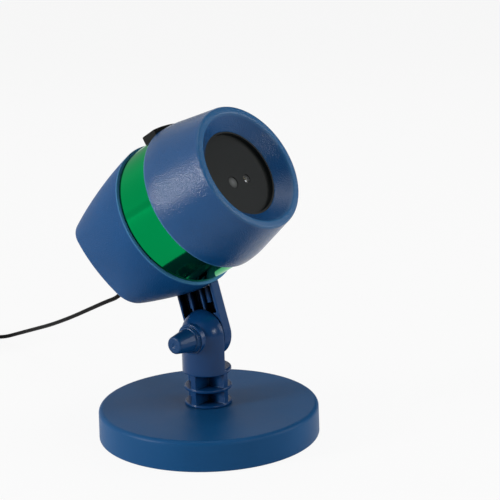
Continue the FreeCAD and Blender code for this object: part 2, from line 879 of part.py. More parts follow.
# Front shell, in the head's own frame
def front_shell():
    rim_inner = rim_outer_radius - rim_face - half * rim_round
    slope = (front_belly_radius - rim_outer_radius) / (front_length - front_belly_station)
    cone_run = rim_inner - cone_foot_radius
    cone_length = math.hypot(cone_run, cone_depth)
    shift_r = shell_wall * cone_depth / cone_length
    shift_z = shell_wall * cone_run / cone_length
    land_edge = cone_foot_radius + land_width
    cone_back = cone_foot - shift_z + (land_edge - cone_foot_radius - shift_r) * cone_depth / cone_run
    pocket_top = front_length - shift_z - half * rim_round
    pocket_outer = front_belly_radius - slope * (pocket_top - front_belly_station) - shell_wall
    pocket_inner = land_edge + (pocket_top - cone_back) * cone_run / cone_depth
    body = turned([
        (front_edge_radius, 0, front_edge_round),
        (front_belly_radius, front_belly_station, front_belly_round),
        (rim_outer_radius, front_length, rim_round),
        (rim_inner, front_length, rim_inner_round),
        (cone_foot_radius, cone_foot, 0),
        (cone_foot_radius, plate_seat, 0),
        (land_edge, plate_seat, 0),
        (land_edge, cone_back, 0),
        (min(pocket_inner, pocket_outer - slide_gap), pocket_top, 0),
        (pocket_outer, pocket_top, 0),
        (front_belly_radius - shell_wall, front_belly_station, 0),
        (front_edge_radius - shell_wall, 0, 0),
    ])
    added = []
    pilots = []
    for x, y in shell_boss_spots():
        added.append(rod(shell_boss_radius, -shell_boss_meet, shell_boss_front, x, y))
        away = math.hypot(x, y)
        rib = block((away, -half * shell_rib_thick, shell_rib_start),
                    (front_edge_radius - shell_wall - half * half * shell_wall, half * shell_rib_thick,
                     shell_boss_front))
        rib.rotate(origin, axis_z, math.degrees(math.atan2(y, x)))
        added.append(rib)
        pilots.append(rod(shell_screw_radius + slide_gap, -shell_boss_meet - overrun,
                          -shell_boss_meet + shell_screw_bite + overrun, x, y))
    for x, y in plate_screw_spots():
        pilots.append(rod(plate_screw_radius + slide_gap, plate_seat - overrun,
                          plate_seat + plate_screw_bite + slide_gap, x, y))
    return fused(body, added).cut(pilots)


def plate_screw_spots():
    return around(plate_screw_count, cone_foot_radius + half * land_width, quarter_turn)


def apertures():
    """The two windows: sideways place and radius."""
    return ((-aperture_x, left_window_radius), (aperture_x, right_window_radius))


def holder_screw_spots():
    return [(side * half * (holder_width + holder_ear), -aperture_drop) for side in (-1, 1)]


def front_plate():
    lip_outer = cone_foot_radius - fit_gap
    floor = turned(sharp(
        (0, plate_back),
        (cone_foot_radius + land_width - fit_gap, plate_back),
        (cone_foot_radius + land_width - fit_gap, plate_seat),
        (0, plate_seat),
    ))
    lip = ring(lip_outer - dish_wall, lip_outer, plate_seat, cone_foot - dish_lip_recess)
    cuts = []
    for x, radius in apertures():
        seat = plate_seat - window_recess - window_thick
        cuts.append(rod(radius + fit_gap, seat, plate_seat + overrun, x, -aperture_drop))
        cuts.append(rod(radius - window_shoulder + fit_gap, plate_back - overrun, seat, x, -aperture_drop))
    for x, y in plate_screw_spots():
        cuts.append(rod(plate_screw_radius + fit_gap, plate_back - overrun, plate_seat + overrun, x, y))
    for x, y in holder_screw_spots():
        cuts.append(rod(holder_screw_radius + slide_gap, plate_back - overrun,
                        plate_back + holder_screw_bite + fit_gap, x, y))
    return fused(floor, [lip]).cut(cuts)


def window(x, radius):
    seat = plate_seat - window_recess - window_thick
    rounding = half * half * window_thick
    disc = turned([
        (0, seat, 0),
        (radius, seat, 0),
        (radius, seat + window_thick, rounding),
        (0, seat + window_thick, 0),
    ])
    disc.translate(point(x, -aperture_drop, 0))
    return disc


def plate_screws():
    for x, y in plate_screw_spots():
        yield screw(plate_screw_radius, plate_seat + plate_screw_bite, plate_back,
                    plate_screw_head_radius, plate_screw_head_height, x, y)


def module_holder():
    back = plate_back - holder_length
    wide = half * holder_width
    tall = half * holder_height
    body = block((-wide, -aperture_drop - tall, back), (wide, -aperture_drop + tall, plate_back))
    ears = block((-wide - holder_ear, -aperture_drop - half * tall, plate_back - holder_ear_thick),
                 (wide + holder_ear, -aperture_drop + half * tall, plate_back))
    cuts = [rod(module_radius + slide_gap, back - overrun, plate_back + overrun, x, -aperture_drop)
            for x, _ in apertures()]
    cuts += [rod(holder_screw_radius + fit_gap, back - overrun, plate_back + overrun, x, y)
             for x, y in holder_screw_spots()]
    pitch = holder_length / (holder_fin_count + 1)
    for k in range(holder_fin_count):
        start = back + pitch * (k + 1) - half * holder_fin_slot
        for side in (-1, 1):
            edge = -aperture_drop + side * tall
            floor = edge - side * holder_fin_depth
            beyond = edge + side * overrun
            cuts.append(block((-wide - overrun, min(floor, beyond), start),
                              (wide + overrun, max(floor, beyond), start + holder_fin_slot)))
    return fused(body, [ears]).cut(cuts)


def holder_screws():
    for x, y in holder_screw_spots():
        yield screw(holder_screw_radius, plate_back + holder_screw_bite, plate_back - holder_ear_thick,
                    holder_screw_head_radius, holder_screw_head_height, x, y)


def laser_module(x):
    front = plate_back - slide_gap
    corners = sharp(
        (0, tail_of_modules),
        (module_cap_radius, tail_of_modules),
        (module_cap_radius, module_back),
        (module_radius, module_back),
        (module_radius, front),
        (module_nose_radius, front),
        (module_nose_radius, front + module_nose_length),
        (module_mouth_radius, front + module_nose_length),
        (module_mouth_radius, front + half * module_nose_length),
        (0, front),
    )
    body = turned(corners)
    body.translate(point(x, -aperture_drop, 0))
    return body


def laser_leads():
    for x, _ in apertures():
        for side in (-lead_spread, lead_spread):
            yield rod(lead_radius, board_front, tail_of_modules, x + side, -aperture_drop)


# Band, seals and button, in the head's own frame
def band():
    rear = rear_rim + band_gap
    inner = band_radius - band_wall
    groove = spigot_radius - seal_groove_depth
    body = turned(sharp(
        (inner, rear - spigot_length),
        (spigot_radius, rear - spigot_length),
        (spigot_radius, rear - seal_offset - seal_groove),
        (groove, rear - seal_offset - seal_groove),
        (groove, rear - seal_offset),
        (spigot_radius, rear - seal_offset),
        (spigot_radius, rear),
        (band_radius, rear),
        (band_radius, 0),
        (spigot_radius, 0),
        (spigot_radius, seal_offset),
        (groove, seal_offset),
        (groove, seal_offset + seal_groove),
        (spigot_radius, seal_offset + seal_groove),
        (spigot_radius, spigot_length),
        (inner, spigot_length),
    ))
    wide = button_box_half_width + fit_gap
    long = button_box_half_length + fit_gap
    hole = block((-wide, half * band_radius, -button_station - long),
                 (wide, band_radius + overrun, -button_station + long))
    return body.cut(hole)


def seal(station):
    path_radius = spigot_radius - seal_groove_depth + fit_gap + seal_radius
    return Part.makeTorus(path_radius, seal_radius, point(0, 0, station))


button_top = band_radius + button_rise
switch_seat = band_radius - band_wall - button_depth
button_cavity_half_width = button_box_half_width - button_wall
button_cavity_half_length = button_box_half_length - button_wall
cap_top_of_flange = button_top - button_lip - slide_gap
cap_under_flange = cap_top_of_flange - cap_flange_thick
switch_top = switch_seat + switch_height
plunger_top = cap_under_flange - button_stroke - switch_click_gap


def button_housing():
    front = -button_station + half * button_length
    rear = front - button_length
    top = block((-button_half_width, half * band_radius, rear), (button_half_width, button_top, front))
    crown = rod(button_crown_radius, rear, front, 0, button_top - button_crown_radius)
    top = top.common(crown)
    edges = [
        edge for edge in top.Edges
        if min(vertex.Point.y for vertex in edge.Vertexes) > band_radius
    ]
    top = top.makeFillet(button_edge_round, edges)
    top = top.cut(rod(band_radius + slide_gap, rear - overrun, front + overrun))
    wide = button_box_half_width
    long = button_box_half_length
    box = block((-wide, switch_seat - button_floor, -button_station - long),
                (wide, band_radius + half * button_rise, -button_station + long))
    inside = block(
        (-button_cavity_half_width, switch_seat, -button_station - button_cavity_half_length),
        (button_cavity_half_width, button_top - button_lip, -button_station + button_cavity_half_length))
    opening_width = button_cavity_half_width - button_lip_width
    opening_length = button_cavity_half_length - button_lip_width
    opening = block((-opening_width, switch_seat, -button_station - opening_length),
                    (opening_width, button_top + overrun, -button_station + opening_length))
    return fused(top, [box]).cut([inside, opening])


def button_cap():
    wide = button_cavity_half_width - button_lip_width - fit_gap
    long = button_cavity_half_length - button_lip_width - fit_gap
    crown = button_top + button_proud
    stem = block((-wide, cap_under_flange, -button_station - long), (wide, crown, -button_station + long))
    stem = stem.common(rod(button_crown_radius, -button_station - button_length,
                           -button_station + button_length, 0, crown - button_crown_radius))
    wide = button_cavity_half_width - fit_gap
    long = button_cavity_half_length - fit_gap
    flange = block((-wide, cap_under_flange, -button_station - long),
                   (wide, cap_top_of_flange, -button_station + long))
    return fused(stem, [flange])


def button_switch():
    long = button_cavity_half_length - fit_gap
    body = block((-switch_half_width, switch_seat, -button_station - long),
                 (switch_half_width, switch_top, -button_station + long))
    plunger = Part.makeCylinder(switch_plunger_radius, plunger_top - switch_seat,
                                point(0, switch_seat, -button_station), axis_y)
    return fused(body, [plunger])


def arc_chain(spots, headings):
    """Edges of pairs of tangent arcs through spots, which leave each spot along its heading."""
    edges = []
    for k in range(len(spots) - 1):
        start, end = spots[k], spots[k + 1]
        leave, arrive = headings[k], headings[k + 1]
        chord = end.sub(start)
        both = leave.add(arrive)
        spare = 2 * (1 - leave.dot(arrive))
        reach = (math.sqrt(chord.dot(both) ** 2 + spare * chord.dot(chord)) - chord.dot(both)) / spare
        near = start.add(leave * reach)
        far = end.sub(arrive * reach)
        joint = near.add(far) * half
        heading = far.sub(near).normalize()
        edges.append(Part.Arc(start, arc_middle(start, leave, joint), joint).toShape())
        edges.append(Part.Arc(joint, arc_middle(joint, heading, end), end).toShape())
    return edges


def tube(edges, radius):
    """Round tube along a chain of edges."""
    path = Part.Wire(edges)
    first = path.OrderedEdges[0]
    start = first.valueAt(first.FirstParameter)
    heading = first.tangentAt(first.FirstParameter)
    if start.distanceToPoint(path.OrderedVertexes[0].Point) > slide_gap:
        start = first.valueAt(first.LastParameter)
        heading = first.tangentAt(first.LastParameter) * -1
    rim = Part.Wire(Part.makeCircle(radius, start, heading))
    made = path.makePipeShell([rim], True, False)
    share = made.Volume / (math.pi * radius ** 2 * path.Length)
    print(f"tube: length {path.Length:.1f} mm, volume over section times length {share:.4f}")
    return made


def button_spring():
    low = switch_top + half * spring_wire + slide_gap
    high = cap_under_flange - half * spring_wire - slide_gap
    steps = spring_turns * quarters
    rise = (high - low) / steps
    spots = []
    headings = []
    for k in range(steps + 1):
        angle = 2 * math.pi * k / quarters
        spots.append(point(spring_radius * math.cos(angle), low + rise * k,
                           -button_station + spring_radius * math.sin(angle)))
        sweep = spring_radius * 2 * math.pi / quarters
        headings.append(point(-sweep * math.sin(angle), rise, sweep * math.cos(angle)).normalize())
    return tube(arc_chain(spots, headings), half * spring_wire)


# Main board, in the head's own frame
def main_board():
    body = block((-board_half_width, -board_drop - board_half_height, board_back),
                 (board_half_width, -board_drop + board_half_height, board_front))
    return body.cut([
        rod(board_screw_radius + fit_gap, board_back - overrun, board_front + overrun, x, y)
        for x, y in board_hole_spots()
    ])


def board_parts():
    for x in (-capacitor_x, capacitor_x):
        rounding = half * half * half * capacitor_radius
        can = turned([
            (0, board_front, 0),
            (capacitor_radius, board_front, 0),
            (capacitor_radius, board_front + capacitor_height, rounding),
            (0, board_front + capacitor_height, 0),
        ])
        can.translate(point(x, capacitor_up - board_drop, 0))
        yield can
    choke = ring(choke_bore, choke_radius, board_front, board_front + choke_height)
    choke.translate(point(-choke_x, -choke_drop, 0))
    yield choke
    yield block((choke_x - half * chip_width, -choke_drop - half * chip_length, board_front),
                (choke_x + half * chip_width, -choke_drop + half * chip_length, board_front + chip_height))
    low = (-half * socket_width, -board_drop + socket_up - half * socket_length, board_back - socket_height)
    high = (half * socket_width, -board_drop + socket_up + half * socket_length, board_back)
    yield block(low, high)


def board_screws():
    for x, y in board_hole_spots():
        over = FreeCAD.Placement(point(x, y, 0), FreeCAD.Rotation(axis_x, half * full_turn))
        made = screw(board_screw_radius, board_screw_length - overrun - board_back, -board_front,
                     board_screw_head_radius, board_screw_head_height)
        yield placed(made, over)


# Gland and the cord's tail, in the back's own frame
def cable_gland():
    tip = gland_flange_thick + gland_length
    corners = [
        (0, -shell_wall - gland_lock_thick, 0),
        (gland_lock_radius, -shell_wall - gland_lock_thick, half * half * gland_lock_thick),
        (gland_lock_radius, -shell_wall, 0),
        (gland_neck_radius, -shell_wall, 0),
        (gland_neck_radius, 0, 0),
        (gland_flange_radius, 0, 0),
        (gland_flange_radius, gland_flange_thick, half * gland_flange_thick),
        (gland_root_radius, gland_flange_thick, 0),
        (gland_tip_radius, tip, 0),
        (0, tip, 0),
    ]
    body = turned(corners)
    taper = (gland_root_radius - gland_tip_radius) / gland_length
    pitch = gland_length / (gland_groove_count + 1)
    grooves = []
    for k in range(gland_groove_count):
        start = gland_flange_thick + pitch * (k + 1) - half * gland_groove
        skin = gland_root_radius - taper * (start - gland_flange_thick)
        grooves.append(ring(skin - gland_groove_depth, skin + overrun, start, start + gland_groove))
    body = body.cut(grooves)
    body.translate(point(0, -gland_drop, 0))
    return placed(body, back_place)


def cord_tail():
    start = point(0, -gland_drop, -shell_wall - gland_lock_thick)
    inner = back_place.multVec(start)
    slant = math.radians(back_slant_deg)
    length = (board_back - inner.z) / math.cos(slant) - tail_end_gap
    return placed(rod(cord_radius, start.z - length, start.z, 0, -gland_drop), back_place)


# Cord, coil and adapter, in the part's own frame
def rounded_path(spots):
    """Straight runs joined by arcs as large as the runs allow."""
    runs = [spots[k + 1].distanceToPoint(spots[k]) for k in range(len(spots) - 1)]
    edges = []
    radii = []
    here = spots[0]
    for k in range(1, len(spots) - 1):
        back = spots[k - 1].sub(spots[k]).normalize()
        ahead = spots[k + 1].sub(spots[k]).normalize()
        reach = bend_share * min(runs[k - 1], runs[k])
        enter = spots[k].add(back * reach)
        leave = spots[k].add(ahead * reach)
        radii.append(reach * math.tan(half * back.getAngle(ahead)))
        edges.append(Part.LineSegment(here, enter).toShape())
        edges.append(Part.Arc(enter, arc_middle(enter, back * -1, leave), leave).toShape())
        here = leave
    edges.append(Part.LineSegment(here, spots[-1]).toShape())
    print("cord runs", [round(run, 1) for run in runs])
    print("cord radii", [round(radius, 1) for radius in radii])
    return edges


def gland_tip():
    """Where the cord leaves the gland, and its heading there."""
    whole = head_place.multiply(back_place)
    spot = whole.multVec(point(0, -gland_drop, gland_flange_thick + gland_length))
    return spot, whole.Rotation.multVec(axis_z)


coil_start = point(coil_centre_x, coil_centre_y + coil_outer, coil_bottom)


def power_cord():
    start, heading = gland_tip()
    entry = coil_start.add(axis_x * (2 * cord_radius))
    before = entry.add(axis_x * cord_end_run)
    spots = [start, start.add(heading * cord_start_run)]
    spots += [point(*spot) for spot in cord_route]
    spots += [before, entry]
    print("cord points", [tuple(round(value, 2) for value in spot) for spot in spots])
    return tube(rounded_path(spots), cord_radius)


def coil_radius_and_level(turns):
    """Radius and level of the coil's line after a number of turns."""
    layer = min(int(turns / coil_turns_per_layer), coil_layers - 1)
    along = turns - layer * coil_turns_per_layer
    inward = along if layer % 2 == 0 else coil_turns_per_layer - along
    radius = coil_outer - inward * cord_pitch
    level = coil_bottom
    for change in range(1, coil_layers):
        share = (turns - change * coil_turns_per_layer) / coil_climb_turns + half
        share = min(max(share, 0), 1)
        level += cord_pitch * share ** 2 * (3 - 2 * share)
    return radius, level


def coil_spot(turns):
    radius, level = coil_radius_and_level(turns)
    angle = half * math.pi + 2 * math.pi * turns
    return point(coil_centre_x + radius * math.cos(angle), coil_centre_y + radius * math.sin(angle), level)


def least_gap(edges):
    """Least distance between parts of a chain that are over half a turn apart, less the tube."""
    marks = []
    for edge in edges:
        marks += edge.discretize(Number=marks_per_edge)[:-1]
    apart = len(marks) // (coil_layers * coil_turns_per_layer) // 2
    nearest = min(
        marks[i].distanceToPoint(marks[j])
        for i in range(len(marks)) for j in range(i + apart, len(marks))
    )
    return nearest - 2 * cord_radius


def cord_coil():
    steps = coil_layers * coil_turns_per_layer * quarters
    nudge = 1 / (quarters * steps)
    spots = []
    headings = []
    for k in range(steps + 1):
        turns = k / quarters
        spots.append(coil_spot(turns))
        before = coil_spot(max(turns - nudge, 0))
        after = coil_spot(min(turns + nudge, coil_layers * coil_turns_per_layer))
        headings.append(after.sub(before).normalize())
    headings[0] = axis_x * -1
    headings[-1] = axis_x * -1
    turns = arc_chain(spots, headings)
    lead_in = Part.LineSegment(spots[0].add(axis_x * (2 * cord_radius)), spots[0]).toShape()
    lead_out = Part.LineSegment(spots[-1], spots[-1].sub(axis_x * coil_lead_out)).toShape()
    edges = [lead_in] + turns + [lead_out]
    print(f"coil: least gap to itself {least_gap(edges):.2f} mm")
    return tube(edges, cord_radius)


def coil_tie():
    grip = cord_radius + tie_gap
    inner = coil_outer - coil_turns_per_layer * cord_pitch - grip
    outer = coil_outer + grip
    low = coil_bottom - grip
    high = coil_top + grip
    wide = half * tie_width
    hole = block((inner, -wide - overrun, low), (outer, wide + overrun, high))
    loop = block((inner - tie_thick, -wide, low - tie_thick), (outer + tie_thick, wide, high + tie_thick))
    edges = [edge for edge in loop.Edges if abs(edge.CenterOfMass.y) < slide_gap]
    made = loop.makeFillet(half * tie_thick, edges).cut(hole)
    made.rotate(origin, axis_z, tie_angle_deg)
    made.translate(point(coil_centre_x, coil_centre_y, 0))
    return made


# The adapter's own frame has +Z from the cord's end towards the pins, which is -X of the part
adapter_place = FreeCAD.Placement(
    point(coil_centre_x - coil_lead_out, coil_centre_y + coil_outer, coil_top),
    FreeCAD.Rotation(axis_y, -quarter_turn),
)


def adapter_relief():
    made = turned(sharp(
        (0, 0),
        (adapter_relief_tip, 0),
        (adapter_relief_root, adapter_relief_length),
        (0, adapter_relief_length),
    ))
    pitch = adapter_relief_length / (gland_groove_count + 1)
    grow = (adapter_relief_root - adapter_relief_tip) / adapter_relief_length
    grooves = []
    for k in range(gland_groove_count):
        start = pitch * (k + 1) - half * gland_groove
        skin = adapter_relief_tip + grow * start
        grooves.append(ring(skin - gland_groove_depth, skin + overrun, start, start + gland_groove))
    return placed(made.cut(grooves), adapter_place)


def adapter_body():
    deep = coil_top - slide_gap
    wide = half * adapter_width
    body = block((-deep, -wide, adapter_relief_length),
                 (deep, wide, adapter_relief_length + adapter_length))
    return placed(body.makeFillet(adapter_round, body.Edges), adapter_place)


def adapter_pins():
    end = adapter_relief_length + adapter_length
    for side in (-1, 1):
        middle = side * half * pin_spacing
        blade = block((-half * pin_width, middle - half * pin_thick, end),
                      (half * pin_width, middle + half * pin_thick, end + pin_length))
        edges = [edge for edge in blade.Edges if edge.CenterOfMass.z > end + pin_length - slide_gap]
        yield placed(blade.makeChamfer(half * half * pin_thick, edges), adapter_place)


def keep_on_head(name, *solids):
    keep(name, *[placed(solid, head_place) for solid in solids])


keep("base_shell", base_shell())
keep("base_plate", base_plate())
keep("rubber_feet", *rubber_feet())
keep("base_weight", base_weight())
keep("base_screws", *base_screws())
keep("post_screw", post_screw())
keep("post", post())
keep("friction_washer", washer())
keep("clamp_stud", stud(0))
keep("clamp_nut", nut())
keep("clamp_knob", knob())
keep("arm", arm())
keep("arm_screws", *arm_screws())
keep_on_head("rear_shell", rear_shell())
keep_on_head("shell_screws", *shell_screws())
keep_on_head("front_shell", front_shell())
keep_on_head("front_plate", front_plate())
keep_on_head("left_grating", window(-aperture_x, left_window_radius))
keep_on_head("right_grating", window(aperture_x, right_window_radius))
keep_on_head("plate_screws", *plate_screws())
keep_on_head("module_holder", module_holder())
keep_on_head("holder_screws", *holder_screws())
keep_on_head("left_laser_module", laser_module(-aperture_x))
keep_on_head("right_laser_module", laser_module(aperture_x))
keep_on_head("laser_leads", *laser_leads())
keep_on_head("band", band())
keep_on_head("front_seal", seal(seal_offset + half * seal_groove))
keep_on_head("rear_seal", seal(rear_rim + band_gap - seal_offset - half * seal_groove))
keep_on_head("button_housing", button_housing())
keep_on_head("button_cap", button_cap())
keep_on_head("button_switch", button_switch())
keep_on_head("button_spring", button_spring())
keep_on_head("main_board", main_board())
keep_on_head("board_parts", *board_parts())
keep_on_head("board_screws", *board_screws())
keep_on_head("cable_gland", cable_gland())
keep_on_head("cord_tail", cord_tail())
keep("power_cord", power_cord())
keep("cord_coil", cord_coil())
keep("coil_tie", coil_tie())
keep("adapter_relief", adapter_relief())
keep("adapter_body", adapter_body())
keep("adapter_pins", *adapter_pins())
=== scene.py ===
import math

import bmesh
import bpy
from mathutils import Matrix, Vector


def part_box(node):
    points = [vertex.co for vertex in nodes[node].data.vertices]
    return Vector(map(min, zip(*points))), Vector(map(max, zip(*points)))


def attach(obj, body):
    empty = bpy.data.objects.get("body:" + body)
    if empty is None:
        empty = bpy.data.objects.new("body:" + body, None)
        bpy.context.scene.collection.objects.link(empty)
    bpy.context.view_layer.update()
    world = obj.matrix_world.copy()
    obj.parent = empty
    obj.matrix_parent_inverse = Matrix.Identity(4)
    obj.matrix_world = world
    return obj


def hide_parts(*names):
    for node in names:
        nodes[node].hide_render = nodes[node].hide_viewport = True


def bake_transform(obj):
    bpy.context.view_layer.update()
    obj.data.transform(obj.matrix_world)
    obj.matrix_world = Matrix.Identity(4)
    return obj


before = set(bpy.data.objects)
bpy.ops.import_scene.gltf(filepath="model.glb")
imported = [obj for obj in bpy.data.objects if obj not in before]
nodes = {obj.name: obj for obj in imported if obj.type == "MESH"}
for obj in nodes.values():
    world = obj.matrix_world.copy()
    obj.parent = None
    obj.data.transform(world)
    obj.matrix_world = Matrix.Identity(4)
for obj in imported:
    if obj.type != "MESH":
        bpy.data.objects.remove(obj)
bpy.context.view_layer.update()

scene = bpy.context.scene
scene.view_settings.view_transform = "Standard"

# Camera: the photograph's viewpoint, in metres
CAMERA_PLACE = Vector((-0.8331, -0.6929, 0.4058))
CAMERA_RIGHT = Vector((0.6119, -0.7905, -0.0256))
CAMERA_UP = Vector((0.2120, 0.1327, 0.9682))
CAMERA_BACK = Vector((-0.7619, -0.5979, 0.2488))
LENS_MM = 121.18
SENSOR_MM = 36.0

# Head: the barrel's axis and its up direction
HEAD_TILT = math.radians(32.14)
HEAD_CENTRE = Vector((0, -0.00266, 0.16552))
BARREL_AXIS = Vector((0, -math.cos(HEAD_TILT), math.sin(HEAD_TILT)))
BARREL_UP = Vector((0, math.sin(HEAD_TILT), math.cos(HEAD_TILT)))

# Spring under the push button, on the barrel's own axes
SPRING_STATION = -0.0070
SPRING_LOW = 0.04511
SPRING_HIGH = 0.05045
SPRING_RADIUS = 0.0023
SPRING_WIRE_RADIUS = 0.00025
SPRING_WIRE_SIDES = 10
SPRING_TURNS = 4
SPRING_STEPS = 24

# Bead in the ruled window, its near-white colour a painted glint
LENS_PLACE = Vector((0.00495, -0.03318, 0.17790))
LENS_RADIUS = 0.00085
LENS_FLAT_SHARE = 0.6
LENS_SIDES = 24
LENS_RINGS = 12

# Cord: the same route as in the part's source, in metres
CORD_RADIUS = 0.0015
CORD_STEPS_PER_POINT = 8
CORD_CORNER_STEPS = 3
CORD_ROUTE = [
    (0.0, 0.07219, 0.09054),
    (0.0, 0.07825, 0.08389),
    (0.0038, 0.0935, 0.0773),
    (0.0135, 0.1190, 0.0655),
    (0.0265, 0.1520, 0.0502),
    (0.0405, 0.1870, 0.0352),
    (0.0540, 0.2180, 0.0232),
    (0.0640, 0.2460, 0.0125),
    (0.0670, 0.2700, 0.0036),
    (0.0655, 0.2875, 0.0026),
    (0.0560, 0.3025, 0.0028),
    (0.0400, 0.30975, 0.0030),
    (0.0250, 0.30975, 0.0030),
]
COIL_CENTRE = Vector((0.022, 0.283, 0))
COIL_OUTER = 0.02675
COIL_BOTTOM = 0.0030
COIL_PITCH = 0.0035
COIL_LAYERS = 4
COIL_TURNS = 5
COIL_CLIMB = 0.5
COIL_STEPS = 24
COIL_LEAD_OUT = 0.011


def place_camera():
    data = bpy.data.cameras.new("photo_camera")
    data.lens = LENS_MM
    data.sensor_width = SENSOR_MM
    camera = bpy.data.objects.new("photo_camera", data)
    turn = Matrix((CAMERA_RIGHT, CAMERA_UP, CAMERA_BACK)).transposed().to_4x4()
    camera.matrix_world = Matrix.Translation(CAMERA_PLACE) @ turn
    scene.collection.objects.link(camera)
    scene.camera = camera


def coil_points():
    """Control points of the put-away turns: they spiral in and out again, layer on layer."""
    for k in range(COIL_LAYERS * COIL_TURNS * COIL_STEPS + 1):
        turns = k / COIL_STEPS
        layer = min(int(turns / COIL_TURNS), COIL_LAYERS - 1)
        along = turns - layer * COIL_TURNS
        inward = along if layer % 2 == 0 else COIL_TURNS - along
        radius = COIL_OUTER - inward * COIL_PITCH
        level = COIL_BOTTOM
        for change in range(1, COIL_LAYERS):
            climb = min(max((turns - change * COIL_TURNS) / COIL_CLIMB + 0.5, 0), 1)
            level += COIL_PITCH * climb * climb * (3 - 2 * climb)
        angle = math.pi / 2 + 2 * math.pi * turns
        yield COIL_CENTRE + Vector((radius * math.cos(angle), radius * math.sin(angle), level))


def cord_curve(bevel):
    """The cord's line as one spline; with a bevel it is the jacket."""
    points = [Vector(p) for p in CORD_ROUTE] + list(coil_points())
    points.append(points[-1] - Vector((COIL_LEAD_OUT, 0, 0)))
    curve = bpy.data.curves.new("cord_line", "CURVE")
    curve.dimensions = "3D"
    curve.resolution_u = CORD_STEPS_PER_POINT
    curve.bevel_depth = bevel
    curve.bevel_resolution = CORD_CORNER_STEPS
    curve.use_fill_caps = True
    spline = curve.splines.new("NURBS")
    spline.points.add(len(points) - 1)
    for spot, place in zip(spline.points, points):
        spot.co = (*place, 1)
    spline.order_u = 3
    spline.use_endpoint_u = True
    return curve


def curve_mesh(curve, name):
    holder = bpy.data.objects.new(name + "_curve", curve)
    scene.collection.objects.link(holder)
    bpy.context.view_layer.update()
    ready = holder.evaluated_get(bpy.context.evaluated_depsgraph_get())
    mesh = bpy.data.meshes.new_from_object(ready)
    mesh.name = name
    bpy.data.objects.remove(holder)
    return mesh


def make_cord():
    line = curve_mesh(cord_curve(0), "cord_centre")
    path = [tuple(v.co) for v in line.vertices]
    mesh = curve_mesh(cord_curve(CORD_RADIUS), "supply_cord")
    mesh.shade_smooth()
    cord = bpy.data.objects.new("supply_cord", mesh)
    scene.collection.objects.link(cord)
    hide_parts("power_cord", "cord_coil")
    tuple(CORD_ROUTE[0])
    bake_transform(cord)
    return cord


place_camera()
cord = make_cord()


# Finishes: spans of the noise that the tone, gloss and lines follow, and how strongly each grain stands out
TONE_SPAN = (0.3, 0.7)
GLOSS_SPAN = (0.7, 1.3)
LINES_SPAN = (0.3, 0.7)
EDGE_TURN_SPAN = (0.99, 0.86)
MOULDED_STRENGTH = 0.5
LINES_STRENGTH, LINES_DEPTH = 0.2, 0.00003
WINDOW_GRAIN, WINDOW_DRIFT = 2600, 120
WINDOW_STRENGTH, WINDOW_DEPTH = 0.4, 0.00005
WINDOW_SPECULAR = 0.2


def add(tree, kind, **values):
    """A node with its sockets set by name, or linked where the value is a socket."""
    node = tree.nodes.new(kind)
    for key, value in values.items():
        if hasattr(node, key):
            setattr(node, key, value)
            continue
        socket = node.inputs[key.replace("_", " ")]
        if isinstance(value, bpy.types.NodeSocket):
            tree.links.new(value, socket)
        else:
            socket.default_value = value
    return node


def group_tree(name, inputs, outputs):
    """An empty shader group with named number inputs (with their values) and outputs."""
    tree = bpy.data.node_groups.new(name, "ShaderNodeTree")
    for label, value in inputs.items():
        tree.interface.new_socket(label, in_out="INPUT", socket_type="NodeSocketFloat").default_value = value
    for label in outputs:
        kind = "NodeSocketVector" if label == "Normal" else "NodeSocketFloat"
        tree.interface.new_socket(label, in_out="OUTPUT", socket_type=kind)
    return tree, tree.nodes.new("NodeGroupInput"), tree.nodes.new("NodeGroupOutput")


def blend_colours(tree, factor, first, second):
    """A colour between two, each given as numbers or as a socket, by a factor."""
    node = tree.nodes.new("ShaderNodeMix")
    node.data_type = "RGBA"
    sockets = [s for s in node.inputs if s.type == "RGBA"]
    for socket, colour in zip(sockets, (first, second)):
        if isinstance(colour, bpy.types.NodeSocket):
            tree.links.new(colour, socket)
        else:
            socket.default_value = (*colour, 1)
    tree.links.new(factor, node.inputs["Factor"])
    return [s for s in node.outputs if s.type == "RGBA"][0]


def spread(tree, value, low, high, new_low, new_high):
    node = tree.nodes.new("ShaderNodeMapRange")
    for label, number in (("From Min", low), ("From Max", high), ("To Min", new_low), ("To Max", new_high)):
        node.inputs[label].default_value = number
    tree.links.new(value, node.inputs["Value"])
    return node.outputs["Result"]


def moulded_grain_group():
    """Fine spark-eroded grain of a plastic moulding: its height, and slow drifts of tone and gloss."""
    tree, taken, given = group_tree("moulded_grain", {"Grain": 1500, "Drift": 22}, ("Height", "Tone", "Gloss"))
    place = add(tree, "ShaderNodeTexCoord").outputs["Object"]
    fine = add(tree, "ShaderNodeTexNoise", Vector=place, Scale=taken.outputs["Grain"], Detail=2.0, Roughness=0.6)
    cells = add(tree, "ShaderNodeTexVoronoi", Vector=place, Scale=taken.outputs["Grain"])
    mix = add(tree, "ShaderNodeMath", operation="MULTIPLY")
    tree.links.new(fine.outputs["Fac"], mix.inputs[0])
    tree.links.new(cells.outputs["Distance"], mix.inputs[1])
    slow = add(tree, "ShaderNodeTexNoise", Vector=place, Scale=taken.outputs["Drift"], Detail=3.0)
    tone = spread(tree, slow.outputs["Fac"], *TONE_SPAN, 0, 1)
    gloss = add(tree, "ShaderNodeMath", operation="ADD")
    tree.links.new(slow.outputs["Fac"], gloss.inputs[0])
    tree.links.new(fine.outputs["Fac"], gloss.inputs[1])
    tree.links.new(mix.outputs[0], given.inputs["Height"])
    tree.links.new(tone, given.inputs["Tone"])
    tree.links.new(gloss.outputs[0], given.inputs["Gloss"])
    return tree


